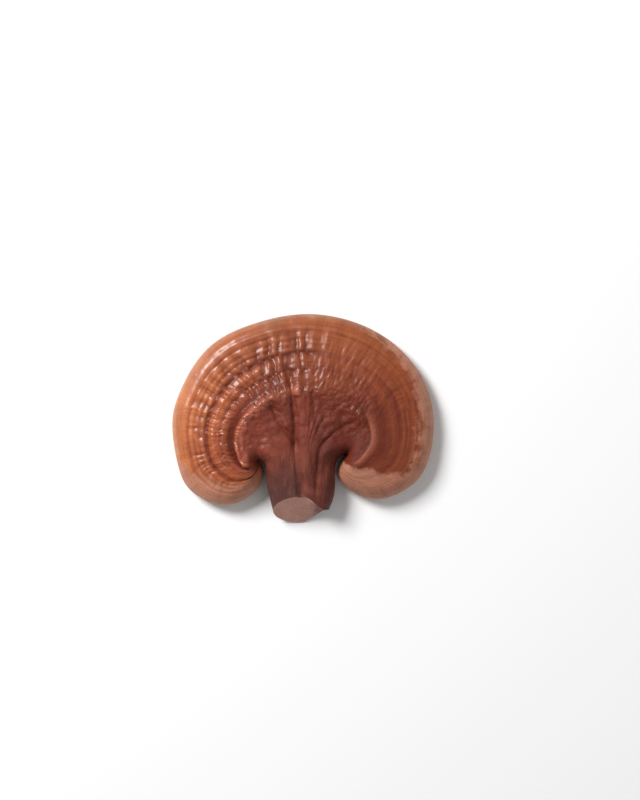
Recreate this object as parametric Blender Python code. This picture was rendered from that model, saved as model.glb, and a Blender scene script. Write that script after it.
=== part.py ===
"""Reishi mushroom: a kidney-shaped lacquered cap and its short side stem, lying on the flat pore face.

The cap grows outwards from the stem in rings. Each ring starts at the left crotch beside the stem, goes
round the cap and ends at the right crotch. "around" counts the steps between the crotches, and "growth"
runs from 0 at the stem's crown, through the welt at WELT_GROWTH, to 1 at the margin. The stem runs back
from the crown: "along" goes from 0 there to 1 at the slanting cut, and "across" from 0 at its left side
to 1 at its right.

Sizes are in millimetres. X is to the right, Y away from the stem, Z up, and the origin is under the
middle of the object, on the plane of the pore face.
"""

import bmesh
import bpy
import numpy as np

MM = 0.001

# Heights above the pore face
CROWN_HEIGHT = 20.5
OUTER_HEIGHT = 19.5
BROW_HEIGHT = 12.5
MARGIN_MIDDLE = 5.8
STEM_TOP = 19.0
STEM_MIDDLE = 9.5
STEM_UNDERSIDE = 0.8

# How far in from the outline the surfaces round over
BROW_ROUNDING = 7.5
PORE_ROUNDING = 6.0
STEM_ROUNDING = 14.0

# The plateau inside the welt: the step up to it on the left and down to it on the right, and the places
# around the cap between which one turns into the other
STEP_LEFT, STEP_RIGHT = 2.4, -0.8
STEP_TURNS = (8, 14)

# The hollow in the plateau: its depth, the growth between which it deepens from the welt and from the
# crown, and its share of the depth at the front of the cap, with the places around between which it has it
HOLLOW_DEPTH = 1.8
HOLLOW_FROM_WELT, HOLLOW_FROM_CROWN = (0.56, 0.28), (0.05, 0.25)
HOLLOW_SHARE_IN_FRONT = 0.4
HOLLOW_FRONT_LEFT, HOLLOW_FRONT_RIGHT = (8.5, 10), (14.5, 13)

# The ridge from the middle of the plateau down the crown to the stem, and where it fades in and out along Y
RIDGE_HEIGHT = 1.3
RIDGE_X = 1.0
RIDGE_HALF_WIDTH = 4.5
RIDGE_FADES_IN, RIDGE_FADES_OUT = (20, 6), (-42, -30)

# How the outer zone falls from the welt to the brow: a higher power keeps it flat for longer
OUTER_FALL_POWER = 1.6

# The stem: how far the crown bows towards the cap, and how far along the bow is gone, the sides have
# settled into a round bar and the top has levelled out
CROWN_BOW = 5.0
BOW_ENDS = 0.6
STEM_SETTLES = 0.35
STEM_LEVELS_OUT = 0.8

# The cut's slant, as a share of the height, which fades out towards the right, between these places
# across the top and the underside, and how suddenly the stem takes it up
CUT_SLANT = 0.8
CUT_TOP_FADES = (0.55, 1.0)
CUT_UNDERSIDE_FADES = (0.48, 1.06)
CUT_SLANT_POWER = 1.5

# The gap between the cap's solid and the stem's
JOINT_GAP = 0.35

# Growth curves, as {around: (x, y)}. All four start and end at the crotches.
LEFT_CROTCH, RIGHT_CROTCH = (-24.2, -22.7), (22.3, -19.5)
LAST = 21
PLATEAU_GROWTH, WELT_GROWTH = 0.3, 0.62
PLATEAU = {
    0: LEFT_CROTCH, 2: (-26.3, -18.1), 5: (-28.2, -11.7), 8: (-23.1, -1.3), 11: (-0.7, 8.3),
    14: (22.3, -1.3), 16.5: (26.9, -11.4), 19: (25.3, -17.3), LAST: RIGHT_CROTCH,
}
WELT = {
    0: LEFT_CROTCH, 1: (-27.4, -25.6), 2: (-30.6, -25.9), 3: (-33.3, -24.0), 5: (-36.8, -14.7),
    7: (-36.0, -5.0), 8: (-32.2, 1.9), 9: (-24.7, 9.4), 11: (-0.7, 18.5), 13: (24.5, 12.6),
    14: (32.5, 4.1), 15: (35.7, -6.1), 17: (33.6, -16.8), 18: (29.3, -21.9), 19: (25.5, -23.0),
    LAST: RIGHT_CROTCH,
}
MARGIN = {
    0: LEFT_CROTCH, 1: (-21.0, -28.6), 2: (-22.6, -35.0), 3: (-28.5, -41.4), 4: (-42.9, -46.5),
    5: (-59.5, -39.3), 6: (-67.0, -25.4), 7: (-70.2, -3.4), 8: (-65.4, 15.8), 9: (-50.4, 38.3),
    10: (-24.7, 51.4), 11: (2.0, 56.0), 12: (28.2, 51.4), 13: (50.7, 38.3), 14: (65.7, 18.0),
    15: (70.0, -5.0), 16: (66.2, -24.8), 17: (57.1, -36.6), 18: (40.0, -43.2), 19: (23.9, -37.7),
    20: (18.1, -28.6), LAST: RIGHT_CROTCH,
}

# The stem's sides, as {along: (x, y)}, down to the middle height of the cut
STEM_LEFT = {
    0: LEFT_CROTCH, 0.1: (-21.5, -23.9), 0.22: (-20.2, -26.7), 0.45: (-19.5, -34.0), 0.7: (-18.2, -41.0),
    1: (-16.0, -49.4),
}
STEM_RIGHT = {
    0: RIGHT_CROTCH, 0.1: (18.9, -21.2), 0.22: (17.2, -25.4), 0.45: (17.0, -34.0), 0.7: (16.5, -41.0),
    1: (13.8, -48.6),
}

# The welt's slope, as growth inside and outside WELT_GROWTH
WELT_INSIDE, WELT_OUTSIDE = 0.075, 0.035

# Mesh steps: around and across are counted in all, the growth rows in each of the cap's zones
AROUND_STEPS = 4 * LAST
PLATEAU_ROWS, WELT_ROWS, OUTER_ROWS, ROUND_ROWS, UNDER_ROWS = 6, 4, 5, 6, 5
ROUND_STARTS = 0.86
STEM_STARTS = 0.03
STEM_ROWS, STEM_COLUMNS = 12, 22
OUTLINE_SAMPLES = 900


def smooth(x, start, end):
    """0 up to start, 1 from end on, with a smooth rise between. It falls where end is below start."""
    x = np.clip((x - start) / (end - start), 0, 1)
    return x * x * (3 - 2 * x)


def rounded(x):
    """The height of a quarter circle of radius 1, x in from its edge."""
    return np.sqrt(1 - (1 - np.clip(x, 0, 1)) ** 2)


def spline(knots, values, at):
    """The natural cubic spline through the values, read at other places along the knots."""
    knots, values, at = (np.asarray(a, float) for a in (knots, values, at))
    flat = values.reshape(len(knots), -1)
    step = np.diff(knots)
    slope = np.diff(flat, axis=0) / step[:, None]
    matrix, bend = np.eye(len(knots)), np.zeros_like(flat)
    for i in range(1, len(knots) - 1):
        matrix[i, i - 1 : i + 2] = step[i - 1], 2 * (step[i - 1] + step[i]), step[i]
        bend[i] = 6 * (slope[i] - slope[i - 1])
    bend = np.linalg.solve(matrix, bend)
    i = np.clip(np.searchsorted(knots, at) - 1, 0, len(step) - 1)
    after = ((at - knots[i]) / step[i])[:, None]
    before = 1 - after
    curve = before * flat[i] + after * flat[i + 1]
    curve += ((before**3 - before) * bend[i] + (after**3 - after) * bend[i + 1]) * step[i, None] ** 2 / 6
    return curve.reshape(len(at), *values.shape[1:])


def through(points, at):
    """The smooth curve through {place along: point}."""
    return spline(list(points), list(points.values()), at)


def crown(across):
    """The curve from crotch to crotch where the stem meets the cap."""
    across = np.asarray(across, float)[:, None]
    bow = CROWN_BOW * 4 * across * (1 - across)
    return (1 - across) * LEFT_CROTCH + across * RIGHT_CROTCH + bow * (0, 1)


def cap_plan(growth, around):
    """The grid of plan points, growth by around."""
    curves = [crown(around / LAST)] + [through(curve, around) for curve in (PLATEAU, WELT, MARGIN)]
    return spline((0, PLATEAU_GROWTH, WELT_GROWTH, 1), curves, growth)


def stem_plan(along, across):
    """The grid of plan points, along by across."""
    left, right = (through(side, along)[:, None] for side in (STEM_LEFT, STEM_RIGHT))
    across = across[None, :, None]
    bow = CROWN_BOW * smooth(along, BOW_ENDS, 0)[:, None, None]
    return (1 - across) * left + across * right + bow * 4 * across * (1 - across) * (0, 1)


def outline():
    """The whole outline from the cut's left corner round the cap to its right corner."""
    along = np.linspace(1, 0, OUTLINE_SAMPLES // 4, endpoint=False)
    margin = through(MARGIN, np.linspace(0, LAST, OUTLINE_SAMPLES))
    return np.concatenate((through(STEM_LEFT, along), margin, through(STEM_RIGHT, along)[::-1]))


def edge_distance(plan, ends_on_margin=False):
    """How far each point of a plan grid lies in from the outline, which its two side columns are on."""
    line = outline()
    start, side = line[:-1], np.diff(line, axis=0)
    nearest = np.full(plan.shape[:-1], np.inf)
    for a, run in zip(start, side):
        part = np.clip((plan - a) @ run / (run @ run), 0, 1)
        nearest = np.minimum(nearest, np.linalg.norm(plan - a - part[..., None] * run, axis=-1))
    nearest[:, [0, -1]] = 0
    if ends_on_margin:
        nearest[-1] = 0
    return nearest


def crown_ridge(plan):
    """The height of the ridge that runs from the middle of the plateau down the crown and the stem."""
    x, y = plan[..., 0], plan[..., 1]
    side = np.exp(-(((x - RIDGE_X) / RIDGE_HALF_WIDTH) ** 2))
    return RIDGE_HEIGHT * side * smooth(y, *RIDGE_FADES_IN) * smooth(y, *RIDGE_FADES_OUT)


def cap_body(growth, under_growth, around):
    """The cap's top and under surfaces as two grids of points that meet at the margin and both crotches."""
    plan = cap_plan(growth, around)
    edge, rows = edge_distance(plan, ends_on_margin=True), growth[:, None]
    outer = np.clip((rows - WELT_GROWTH) / (1 - WELT_GROWTH), 0, 1)
    step = STEP_LEFT + (STEP_RIGHT - STEP_LEFT) * smooth(around, *STEP_TURNS)
    in_front = smooth(around, *HOLLOW_FRONT_LEFT) * smooth(around, *HOLLOW_FRONT_RIGHT)
    hollow = HOLLOW_DEPTH * (1 - (1 - HOLLOW_SHARE_IN_FRONT) * in_front)
    top = OUTER_HEIGHT - (OUTER_HEIGHT - BROW_HEIGHT) * outer**OUTER_FALL_POWER
    top = top + step * smooth(rows, WELT_GROWTH + WELT_OUTSIDE, WELT_GROWTH - WELT_INSIDE)
    top = top - hollow * smooth(rows, *HOLLOW_FROM_WELT) * smooth(rows, *HOLLOW_FROM_CROWN)
    top = top + (CROWN_HEIGHT - OUTER_HEIGHT - step) * smooth(rows, PLATEAU_GROWTH, 0) + crown_ridge(plan)
    top = MARGIN_MIDDLE + (top - MARGIN_MIDDLE) * rounded(edge / BROW_ROUNDING)
    under_plan = cap_plan(under_growth, around)
    under = MARGIN_MIDDLE * (1 - rounded(edge_distance(under_plan, ends_on_margin=True) / PORE_ROUNDING))
    return np.dstack((plan, top)), np.dstack((under_plan, under))


def stem_body(along, across):
    """The stem's top and under surfaces as two grids of points that meet along its sides, up to the cut."""
    plan = stem_plan(along, across)
    edge, rows = edge_distance(plan), along[:, None]
    settled = smooth(rows, 0, STEM_SETTLES)
    middle = MARGIN_MIDDLE + (STEM_MIDDLE - MARGIN_MIDDLE) * settled
    top = CROWN_HEIGHT + (STEM_TOP - CROWN_HEIGHT) * smooth(rows, 0, STEM_LEVELS_OUT) + crown_ridge(plan)
    top_rounding = BROW_ROUNDING + (STEM_ROUNDING - BROW_ROUNDING) * settled
    top = middle + (top - middle) * rounded(edge / top_rounding)
    under_rounding = PORE_ROUNDING + (STEM_ROUNDING - PORE_ROUNDING) * settled
    under = middle + (STEM_UNDERSIDE * settled - middle) * rounded(edge / under_rounding)
    surfaces = []
    for height, fades in ((top, CUT_TOP_FADES), (under, CUT_UNDERSIDE_FADES)):
        surface = np.dstack((plan, height))
        slant = CUT_SLANT * (1 - smooth(across, *fades))
        surface[..., 1] += slant * (height - middle) * rows**CUT_SLANT_POWER
        surfaces.append(surface)
    return surfaces


def closed_object(name, top, under, material):
    """One closed body between a top and an under grid, whose first and last rows are joined by walls."""
    corners = np.concatenate((top.reshape(-1, 3), under.reshape(-1, 3))) * MM
    top_at = np.arange(top[..., 0].size).reshape(top.shape[:2])
    under_at = top_at.size + np.arange(under[..., 0].size).reshape(under.shape[:2])
    faces = []
    for at in (top_at, under_at[::-1]):
        faces += np.stack((at[:-1, :-1], at[:-1, 1:], at[1:, 1:], at[1:, :-1]), -1).reshape(-1, 4).tolist()
    for upper, lower in ((top_at[0], under_at[0]), (under_at[-1], top_at[-1])):
        faces += np.stack((lower[:-1], lower[1:], upper[1:], upper[:-1]), -1).tolist()
    mesh = bpy.data.meshes.new(name)
    mesh.from_pydata(corners.tolist(), [], faces)
    body = bmesh.new()
    body.from_mesh(mesh)
    bmesh.ops.remove_doubles(body, verts=body.verts, dist=1e-6)
    bmesh.ops.recalc_face_normals(body, faces=body.faces)
    body.to_mesh(mesh)
    body.free()
    mesh.shade_smooth()
    mesh.set_sharp_from_angle(angle=np.radians(50))
    mesh.materials.append(material)
    return bpy.data.objects.new(name, mesh)


def crust_material(name, colour, roughness):
    material = bpy.data.materials.new(name)
    material.use_nodes = True
    shader = material.node_tree.nodes["Principled BSDF"]
    shader.inputs["Base Color"].default_value = (*colour, 1)
    shader.inputs["Roughness"].default_value = roughness
    shader.inputs["Metallic"].default_value = 0
    return material


def make_cap():
    welt_starts, welt_ends = WELT_GROWTH - WELT_INSIDE, WELT_GROWTH + WELT_OUTSIDE
    closing_in = ROUND_STARTS + (1 - ROUND_STARTS) * np.sin(np.linspace(0, np.pi / 2, ROUND_ROWS))
    growth = np.concatenate((
        np.linspace(0, welt_starts, PLATEAU_ROWS, endpoint=False),
        np.linspace(welt_starts, welt_ends, WELT_ROWS, endpoint=False),
        np.linspace(welt_ends, ROUND_STARTS, OUTER_ROWS, endpoint=False),
        closing_in,
    ))
    under_growth = np.concatenate((np.linspace(0, ROUND_STARTS, UNDER_ROWS, endpoint=False), closing_in))
    around = np.linspace(0, LAST, AROUND_STEPS + 1)
    top, under = cap_body(growth, under_growth, around)
    return closed_object("cap", top, under, crust_material("lacquered crust", (0.30, 0.09, 0.045), 0.38))


def make_stem():
    """The stem starts a joint's gap behind the crown and keeps that gap to the lobes on both sides."""
    along = np.linspace(STEM_STARTS, 1, STEM_ROWS)
    across = (1 - np.cos(np.linspace(0, np.pi, STEM_COLUMNS))) / 2
    top, under = stem_body(along, across)
    for surface in (top, under):
        middle = (surface[:, :1] + surface[:, -1:])[..., 0] / 2
        half_width = (surface[:, -1:] - surface[:, :1])[..., 0] / 2
        surface[..., 0] = middle + (surface[..., 0] - middle) * (1 - JOINT_GAP / half_width)
        surface[0, :, 1] -= JOINT_GAP
    return closed_object("stem", top, under, crust_material("stem crust", (0.12, 0.05, 0.035), 0.5))


def build():
    for old in list(bpy.data.objects):
        bpy.data.objects.remove(old)
    mushroom = bpy.data.collections.new("reishi mushroom")
    bpy.context.scene.collection.children.link(mushroom)
    for piece in (make_cap(), make_stem()):
        mushroom.objects.link(piece)


build()
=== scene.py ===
"""Looks of the reishi mushroom: the lacquered cap with its growth rings, welt and wrinkles, the pore face
under it, and the stem with its slanting cut.

Cap and stem are one grown body here too. Its smooth shape repeats the CAD's curves on a fine grid, a
Geometry Nodes tree raises the growth relief on it, and it is then parted at the crown into the pieces that
stand for the two nodes.

Lengths are in millimetres until a mesh is made. "around" counts from the left crotch round the cap to the
right one, and "growth" runs from -1 at the cut, through 0 at the crown, to 1 at the margin.
"""

import bpy
import numpy as np
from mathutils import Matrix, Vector


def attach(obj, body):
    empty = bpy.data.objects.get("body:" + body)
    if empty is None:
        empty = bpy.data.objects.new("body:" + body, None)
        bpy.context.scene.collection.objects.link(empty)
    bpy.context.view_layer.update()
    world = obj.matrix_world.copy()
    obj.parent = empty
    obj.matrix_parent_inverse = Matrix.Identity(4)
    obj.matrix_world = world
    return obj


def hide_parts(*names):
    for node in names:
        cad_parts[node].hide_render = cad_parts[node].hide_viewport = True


MM = 0.001

# The body's shape, as in the CAD
CROWN_HEIGHT, OUTER_HEIGHT, BROW_HEIGHT, MARGIN_MIDDLE = 20.5, 19.5, 12.5, 5.8
STEM_TOP, STEM_MIDDLE, STEM_UNDERSIDE = 19.0, 9.5, 0.8
BROW_ROUNDING, PORE_ROUNDING, STEM_ROUNDING = 7.5, 6.0, 14.0
STEP_LEFT, STEP_RIGHT, STEP_TURNS = 2.4, -0.8, (8, 14)
HOLLOW_DEPTH, HOLLOW_SHARE_IN_FRONT = 1.8, 0.4
HOLLOW_FROM_WELT, HOLLOW_FROM_CROWN = (0.56, 0.28), (0.05, 0.25)
HOLLOW_FRONT_LEFT, HOLLOW_FRONT_RIGHT = (8.5, 10), (14.5, 13)
RIDGE_HEIGHT, RIDGE_X, RIDGE_HALF_WIDTH = 1.3, 1.0, 4.5
RIDGE_FADES_IN, RIDGE_FADES_OUT = (20, 6), (-42, -30)
OUTER_FALL_POWER = 1.6
CROWN_BOW, BOW_ENDS, STEM_SETTLES, STEM_LEVELS_OUT = 5.0, 0.6, 0.35, 0.8
CUT_SLANT, CUT_SLANT_POWER = 0.8, 1.5
CUT_TOP_FADES, CUT_UNDERSIDE_FADES = (0.55, 1.0), (0.48, 1.06)
LEFT_CROTCH, RIGHT_CROTCH = (-24.2, -22.7), (22.3, -19.5)
LAST = 21
PLATEAU_GROWTH, WELT_GROWTH = 0.3, 0.62
WELT_INSIDE, WELT_OUTSIDE = 0.075, 0.035

# The growth curves, as {around: (x, y)}
PLATEAU = {
    0: LEFT_CROTCH, 2: (-26.3, -18.1), 5: (-28.2, -11.7), 8: (-23.1, -1.3), 11: (-0.7, 8.3),
    14: (22.3, -1.3), 16.5: (26.9, -11.4), 19: (25.3, -17.3), LAST: RIGHT_CROTCH,
}
WELT = {
    0: LEFT_CROTCH, 1: (-27.4, -25.6), 2: (-30.6, -25.9), 3: (-33.3, -24.0), 5: (-36.8, -14.7),
    7: (-36.0, -5.0), 8: (-32.2, 1.9), 9: (-24.7, 9.4), 11: (-0.7, 18.5), 13: (24.5, 12.6),
    14: (32.5, 4.1), 15: (35.7, -6.1), 17: (33.6, -16.8), 18: (29.3, -21.9), 19: (25.5, -23.0),
    LAST: RIGHT_CROTCH,
}
MARGIN = {
    0: LEFT_CROTCH, 1: (-21.0, -28.6), 2: (-22.6, -35.0), 3: (-28.5, -41.4), 4: (-42.9, -46.5),
    5: (-59.5, -39.3), 6: (-67.0, -25.4), 7: (-70.2, -3.4), 8: (-65.4, 15.8), 9: (-50.4, 38.3),
    10: (-24.7, 51.4), 11: (2.0, 56.0), 12: (28.2, 51.4), 13: (50.7, 38.3), 14: (65.7, 18.0),
    15: (70.0, -5.0), 16: (66.2, -24.8), 17: (57.1, -36.6), 18: (40.0, -43.2), 19: (23.9, -37.7),
    20: (18.1, -28.6), LAST: RIGHT_CROTCH,
}

# The stem's sides, as {along: (x, y)}
STEM_LEFT = {
    0: LEFT_CROTCH, 0.1: (-21.5, -23.9), 0.22: (-20.2, -26.7), 0.45: (-19.5, -34.0), 0.7: (-18.2, -41.0),
    1: (-16.0, -49.4),
}
STEM_RIGHT = {
    0: RIGHT_CROTCH, 0.1: (18.9, -21.2), 0.22: (17.2, -25.4), 0.45: (17.0, -34.0), 0.7: (16.5, -41.0),
    1: (13.8, -48.6),
}

# Furrows in the crown and plateau, each as {y: x} with its depth and half width: one on the left of the
# ridge, two on its right, and one that branches off the left one to the welt
FURROWS = (
    ({-44: -1.0, -33: -1.8, -25: -3.3, -12: -4.0, 8: -4.8, 18: -6.4, 28: -9.5}, 1.7, 1.9),
    ({-38: 7.0, -24: 7.8, -17: 9.2, -11.5: 12.0, -6: 18.0}, 1.3, 1.8),
    ({-12: -4.0, -8.6: -7.0, -3.4: -11.6, 3.7: -14.6, 13: -20.6}, 1.3, 1.9),
    ({4: 6.0, 12: 5.2, 20: 4.6}, 0.9, 1.5),
)
FURROW_RUN_OUT, FURROW_PAST_END = 7.0, 1.0

# Mesh steps. The rows end in closer ones from where the top or underside rounds over to the margin.
COLUMNS, COLUMNS_EVEN_SHARE, MARGIN_SAMPLES = 500, 0.8, 20 * LAST + 1
TOP_ROWS, TOP_ROUND_ROWS, TOP_ROUND_STARTS = 116, 28, 0.9
UNDER_ROWS, UNDER_ROUND_ROWS, UNDER_ROUND_STARTS = 12, 18, 0.86
STEM_ROWS, CUT_ROWS = 48, 14
OUTLINE_SAMPLES = 1100
WELD_DECIMALS = 4
TOP, UNDER, CUT = 0, 1, 2

# The growth at which the sweep, the millimetres round the cap, is measured
SWEEP_GROWTH = 0.8

# Growth relief: the tree's inputs, in millimetres unless the name says otherwise
RELIEF = {
    "Ring depth": 0.18,
    "Rings for all growth": 52.0,
    "Groove depth": 1.0,
    "Wrinkle depth": 0.8,
    "Wrinkle spacing": 6.5,
    "Bead height": 0.75,
    "Bead spacing": 10.0,
    "Crease depth": 1.1,
    "Fold depth": 0.9,
    "Fibre depth": 0.2,
    "Swell": 0.6,
}
FOLD_SPACING, NARROW_WRINKLES_SHARE, TORN_DEPTH = 7.0, 0.4, 0.5

# The relief starts this far in from the outline, and is calm this far round the crotches
RELIEF_STARTS, CROTCH_CALM = 1.5, (0.5, 9.0)

# The grooves where growth paused, as {growth: (share of the groove depth, half width in growth)}, and how
# many times as wide their sloping sides are
GROOVES = {
    0.735: (0.45, 0.009), 0.768: (0.35, 0.006), 0.825: (1.0, 0.017), 0.864: (0.5, 0.006),
    0.886: (0.45, 0.005), 0.904: (0.2, 0.003), 0.919: (0.45, 0.004), 0.957: (0.2, 0.003),
    0.975: (0.12, 0.003),
}
GROOVE_SIDES = 3.0

# How far the rays lean as they run inwards, as {around: millimetres of sweep for all of the growth}
RAYS_LEAN = {
    0: 90.0, 3.5: 90.0, 5: 60.0, 7: 22.0, 9: 4.0, 11: 0.0, 13: -25.0, 15: -60.0, 18: -90.0, LAST: -90.0,
}
LEAN_STARTS, LEAN_ENDS = 0.85, 0.45

# Where the pale, newly grown margin starts, as {around: growth}, and how softly in growth
PALE_STARTS = {
    0: 0.93, 1.5: 0.87, 3: 0.85, 4.4: 0.86, 5.2: 0.9, 6: 0.97, 7: 1.01, 9.5: 1.02, 12.4: 1.01, 13.2: 0.95,
    14: 0.935, 16.4: 0.93, 17.1: 0.88, 17.7: 0.76, 18.4: 0.69, 19.5: 0.69, 20.3: 0.76, LAST: 0.9,
}
PALE_EDGE = (-0.03, 0.03)

# Zones of the skin, as {name: (strength, range of growth, range around)}. Over a range of two values a zone
# comes in and stays. Over one of four it comes in between the first two and goes out between the last two.
# A range of two may run backwards, and ALL is no limit.
ALL = None
UPPER_PILLOWS = (0.64, 0.72, 0.88, 0.95), (7.0, 8.5, 10.8, 11.8)
LEFT_PILLOWS = (0.62, 0.68, 0.88, 0.95), (2.8, 4.5, 7.0, 8.5)
RIGHT_RIM = (13.5, 15.0, 17.8, 19.0)
RIGHT_RING = (13.5, 15.0, 18.0, 19.0)
ZONES = {
    "ringed": (1.0, (0.66, 0.71), ALL),
    "rings further in": (0.012, ALL, (10.0, 15.0)),
    "faint rings": (0.75, ALL, (10.0, 12.5)),
    "folded rings": (1.8, (0.67, 0.71, 0.78, 0.82), (6.0, 7.2, 10.0, 11.0)),
    "roll": (0.45, (0.74, 0.775, 0.785, 0.812), (4.5, 6.5, 9.5, 10.8)),
    "second row": (0.3, (0.73, 0.74), ALL),
    "third row": (0.4, (0.82, 0.83), ALL),
    "upper pillows": (1.35, *UPPER_PILLOWS),
    "upper wrinkles": (0.3, *UPPER_PILLOWS),
    "left pillows": (0.5, *LEFT_PILLOWS),
    "left wrinkles": (0.6, *LEFT_PILLOWS),
    "right ribs": (1.56, (0.4, 0.55, 0.85, 0.97), (10.8, 11.8, 13.5, 15.5)),
    "rays": (2.1, (0.5, 0.68, 0.92, 0.99), (8.0, 10.5, 13.0, 14.5)),
    "welt ribs": (0.7, (0.42, 0.54, 0.6, 0.66), ALL),
    "beaded rim": (1.0, (0.28, 0.54, 0.59, 0.65), (0.8, 2.2, 11.0, 12.2)),
    "swollen end": (0.7, ALL, (0.8, 1.7, 2.2, 3.4)),
    "crease": (1.0, (0.59, 0.64, 0.65, 0.72), (0.6, 1.8, 6.5, 10.5)),
    "right edge": (0.5, (0.6, 0.64, 0.65, 0.72), RIGHT_RIM),
    "right crease": (0.3, (0.5, 0.59, 0.605, 0.64), RIGHT_RIM),
    "folds": (1.0, (-0.02, 0.12, 0.52, 0.66), ALL),
    "ribbed": (0.35, ALL, (10.8, 12.0, 14.5, 16.0)),
    "calm right": (0.6, ALL, (14.5, 17.0)),
    "ridge head": (1.3, (0.36, 0.46, 0.56, 0.65), (10.45, 10.7, 10.85, 11.1)),
    "fibres": (1.4, (0.1, 0.5), ALL),
    "grain by the welt": (2.4, (0.52, 0.62, 0.72, 0.9), ALL),
    "finer grain": (0.5, ALL, (14.5, 17.0)),
    "stem folds": (2.2, (0.1, -0.2), ALL),
    "near the cut": (0.75, (-0.85, -1.0), ALL),
    "faint bands": (0.6, ALL, (10.5, 11.5, 12.8, 14.0)),
    "strong bands": (0.7, ALL, (13.0, 14.3, 16.5, 17.5)),
    "brown side": (1.0, ALL, (7.5, 10.5)),
    "crown and stem": (0.5, (0.1, -0.4), ALL),
    "right side": (1.0, ALL, (11.5, 14.5)),
    # painted shade in the crease outside the welt, which also mattes the lacquer there
    "shaded dull crease": (1.0, (0.6, 0.63, 0.66, 0.71), (1.0, 2.5, 7.0, 11.0)),
    # the rim lighter: its own paler tone and a painted highlight
    "pale highlighted rim": (0.85, (0.36, 0.5, 0.58, 0.62), (1.0, 2.4, 10.6, 11.4)),
    "dark lobe": (0.6, (0.04, 0.15, 0.32, 0.46), (0.8, 2.0, 8.5, 10.5)),
    "light brow": (0.8, (0.35, 0.5, 0.64, 0.76), (9.5, 10.8, 12.0, 13.5)),
    # painted highlight over the pillows on the upper left
    "highlighted pillows": (0.6, (0.66, 0.74, 0.88, 0.96), (6.0, 7.5, 9.5, 11.5)),
    # the right rim's ring: its own orange, with a painted highlight
    "orange lit ring": (0.4, (0.6, 0.63, 0.65, 0.7), RIGHT_RING),
    # painted shade just inside the right rim, at the foot of the step into the plateau
    "shaded ring": (0.6, (0.55, 0.59, 0.605, 0.63), RIGHT_RING),
    "stem": (0.8, (-0.1, -0.5), ALL),
    "ridge": (0.8, (-1.0, -0.7, 0.3, 0.6), ALL),
    "lined": (0.45, (0.6, 0.7), ALL),
    "very margin": (1.0, (0.955, 0.995), ALL),
    "patchy": (0.55, (0.3, -0.2), ALL),
    "crinkled": (0.7, (-0.3, 0.1, 0.75, 0.95), ALL),
    "fewer crinkles": (0.5, ALL, (7.5, 10.5)),
    "dull side": (0.55, ALL, (8.8, 12.5)),
    "dull right": (0.7, (0.15, 0.3, 0.68, 0.76), (13.5, 15.5)),
    "lacquered": (0.5, (0.2, 0.58), ALL),
    "pored": (1.0, (0.96, 0.88), ALL),
    "smooth border": (1.0, (0.86, 0.97), ALL),
}
STEM_LEFT_X, RIDGE_LIGHT_X = (1.0, -4.0), (-6.0, -2.0, 4.0, 8.0)

# Noise that follows the growth, as {name: (grain in millimetres across the rays, grain in growth along them,
# seed, detail, roughness)}
GRAINS = {
    "ring waver": (14.0, 0.17, 1.0, 2.0, 0.5),
    "groove waver": (25.0, 0.3, 3.0, 2.0, 0.5),
    "groove wobble": (5.0, 0.2, 4.0, 2.0, 0.5),
    "groove patches": (16.0, 0.08, 5.0, 2.0, 0.5),
    "ring patches": (22.0, 0.045, 7.0, 2.0, 0.5),
    "folded patches": (5.0, 0.03, 8.0, 2.0, 0.5),
    "wrinkle drift": (11.0, 0.16, 3.0, 2.0, 0.5),
    "wrinkle patches": (7.0, 0.06, 11.0, 2.0, 0.5),
    "right ribs": (1.8, 0.06, 12.0, 1.0, 0.5),
    "rays": (6.0, 0.9, 14.0, 1.0, 0.5),
    "bead drift": (10.0, 0.5, 5.0, 2.0, 0.5),
    "welt ribs": (1.9, 0.3, 6.0, 1.0, 0.5),
    "fold drift": (30.0, 0.3, 2.0, 2.0, 0.5),
    "raised fibres": (1.6, 0.07, 0.0, 3.0, 0.6),
    "welt grain": (2.2, 0.024, 9.0, 3.0, 0.5),
    "colour waver": (16.0, 0.2, 2.0, 3.0, 0.5),
    "streaks": (2.6, 0.11, 5.0, 4.0, 0.6),
    "lines": (40.0, 0.011, 13.0, 3.0, 0.6),
    "fibres": (0.7, 0.04, 1.0, 4.0, 0.65),
}

# Between which values of a noise its patches come in
PATCHES = {
    "groove patches": (0.3, 0.55),
    "ring patches": (0.36, 0.62),
    "folded patches": (0.4, 0.6),
    "wrinkle patches": (0.36, 0.62),
    "streaks": (0.42, 0.62),
    "lines": (0.52, 0.62),
    "fibres": (0.4, 0.62),
}

# Noise in space, as {name: (size in millimetres or x, y and z sizes, detail, roughness)}
LUMPS = {
    "welt": (2.6, 1.0, 0.5),
    "plateau": (6.5, 1.0, 0.5),
    "small": (2.4, 2.0, 0.5),
    "stem folds": ((3.0, 16.0, 3.0), 3.0, 0.5),
    "swell": (17.0, 1.0, 0.5),
    "torn flesh": (1.4, 3.0, 0.5),
    "crinkles": (1.3, 3.0, 0.55),
    "crown streaks": ((1.5, 9.0, 3.0), 4.0, 0.7),
}
CROWN_STREAKS = (0.3, 0.7)

# Cloudy variation, as {name: (size in millimetres, contrast)}
CLOUDS = {
    "pale edge": (6.0, 1.4),
    "patches": (9.0, 4.0),
    "worn lacquer": (2.5, 2.0),
    "crown edge": (4.0, 1.5),
    "pore face": (14.0, 2.4),
    "margin edge": (3.0, 1.5),
    "flesh": (5.0, 2.0),
    "fibre ends": (0.8, 3.0),
    # the wavy edge of the painted shade on the cut
    "shade edge": (4.0, 1.5),
}

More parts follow.
